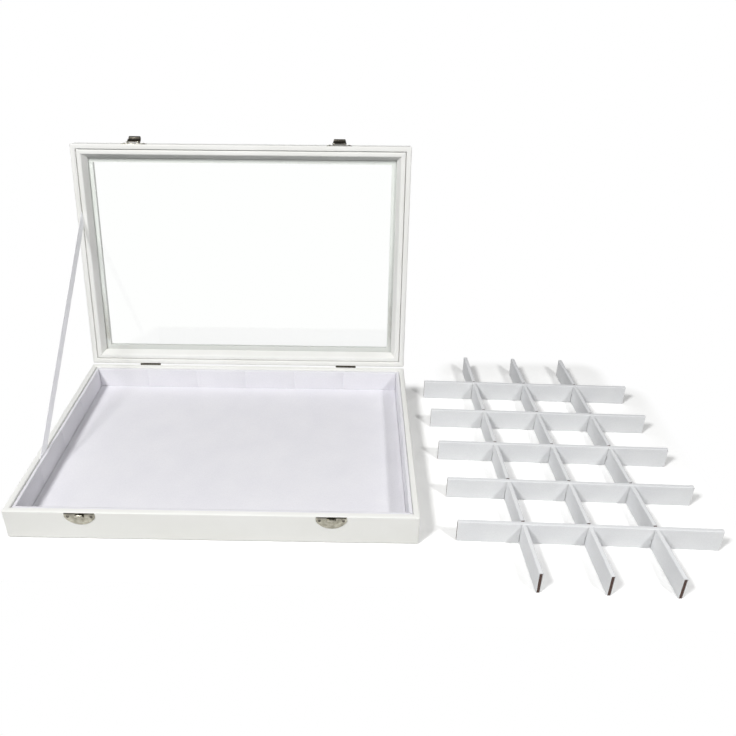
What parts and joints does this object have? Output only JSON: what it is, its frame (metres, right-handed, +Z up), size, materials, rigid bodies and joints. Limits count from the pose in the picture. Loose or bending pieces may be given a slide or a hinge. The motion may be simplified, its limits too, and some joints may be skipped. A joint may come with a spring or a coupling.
{
  "type": "glass-lid jewelry box",
  "caption": "Shallow white display box with a hinged, glazed lid held open by a ribbon, front snap latches, a velvet lining and a lift-out divider grid beside it.",
  "frame": {"origin": "middle of the closed box's footprint, on the table", "axes": "+X to the right along the box's long side and towards the divider set, +Y to the hinges at the back, +Z up"},
  "size_m": [0.6027, 0.3485, 0.2734],
  "materials": {
    "fibreboard": "raw",
    "leatherette": "satin",
    "backing_card": "matte",
    "velvet": "matte",
    "clear_glass": "polished",
    "nickel": "polished",
    "steel": "satin",
    "ribbon": "matte",
    "brown_board": "raw"
  },
  "bodies": {
    "base": {"base_board_front": "fibreboard", "base_board_back": "fibreboard", "base_board_left": "fibreboard", "base_board_right": "fibreboard", "base_wrap": "leatherette", "bottom_board": "fibreboard", "bottom_cover": "backing_card", "lining_front": "velvet", "lining_back": "velvet", "lining_left": "velvet", "lining_right": "velvet", "floor_pad": "velvet", "hinge_base_leaf_left": "nickel", "hinge_base_leaf_right": "nickel", "hinge_pin_left": "steel", "hinge_pin_right": "steel", "hinge_screws_base": "steel", "catch_plate_left": "nickel", "catch_plate_right": "nickel", "catch_nails": "steel", "lid_stay": "ribbon"},
    "lid": {"lid_rail_front": "fibreboard", "lid_rail_back": "fibreboard", "lid_rail_left": "fibreboard", "lid_rail_right": "fibreboard", "lid_wrap": "leatherette", "glass_pane": "clear_glass", "glass_bead_front": "leatherette", "glass_bead_back": "leatherette", "glass_bead_left": "leatherette", "glass_bead_right": "leatherette", "hinge_lid_leaf_left": "nickel", "hinge_lid_leaf_right": "nickel", "hinge_screws_lid": "steel", "latch_plate_left": "nickel", "latch_plate_right": "nickel", "latch_nails": "steel", "latch_pin_left": "steel", "latch_pin_right": "steel"},
    "lever_left": {"latch_lever_left": "nickel"},
    "lever_right": {"latch_lever_right": "nickel"},
    "long_strips": {"long_divider_core_1": "brown_board", "long_divider_velvet_1": "velvet", "long_divider_core_2": "brown_board", "long_divider_velvet_2": "velvet", "long_divider_core_3": "brown_board", "long_divider_velvet_3": "velvet"},
    "cross_strip_1": {"cross_divider_core_1": "brown_board", "cross_divider_velvet_1": "velvet"},
    "cross_strip_2": {"cross_divider_core_2": "brown_board", "cross_divider_velvet_2": "velvet"},
    "cross_strip_3": {"cross_divider_core_3": "brown_board", "cross_divider_velvet_3": "velvet"},
    "cross_strip_4": {"cross_divider_core_4": "brown_board", "cross_divider_velvet_4": "velvet"},
    "cross_strip_5": {"cross_divider_core_5": "brown_board", "cross_divider_velvet_5": "velvet"}
  },
  "joints": [
    {"name": "lid_hinge", "type": "hinge", "parent": "base", "child": "lid", "pos_m": [0, 0.1206, 0.0297], "axis": [1, 0, 0], "range_deg": [0, 99.5], "deforming": ["lid_stay"]},
    {"name": "left_latch", "type": "hinge", "parent": "lid", "child": "lever_left", "pos_m": [-0.1095, 0.16284, 0.26881], "axis": [1, 0, 0], "range_deg": [-10, 140]},
    {"name": "right_latch", "type": "hinge", "parent": "lid", "child": "lever_right", "pos_m": [0.1014, 0.16284, 0.26881], "axis": [1, 0, 0], "range_deg": [0, 150]},
    {"name": "divider_set_lift", "type": "slide", "parent": "base", "child": "long_strips", "axis": [0, 0, 1], "range_m": [0, 0.06]},
    {"name": "cross_strip_1_lift", "type": "slide", "parent": "long_strips", "child": "cross_strip_1", "axis": [0, 0, 1], "range_m": [0, 0.03]},
    {"name": "cross_strip_2_lift", "type": "slide", "parent": "long_strips", "child": "cross_strip_2", "axis": [0, 0, 1], "range_m": [0, 0.03]},
    {"name": "cross_strip_3_lift", "type": "slide", "parent": "long_strips", "child": "cross_strip_3", "axis": [0, 0, 1], "range_m": [0, 0.03]},
    {"name": "cross_strip_4_lift", "type": "slide", "parent": "long_strips", "child": "cross_strip_4", "axis": [0, 0, 1], "range_m": [0, 0.03]},
    {"name": "cross_strip_5_lift", "type": "slide", "parent": "long_strips", "child": "cross_strip_5", "axis": [0, 0, 1], "range_m": [0, 0.03]}
  ]
}
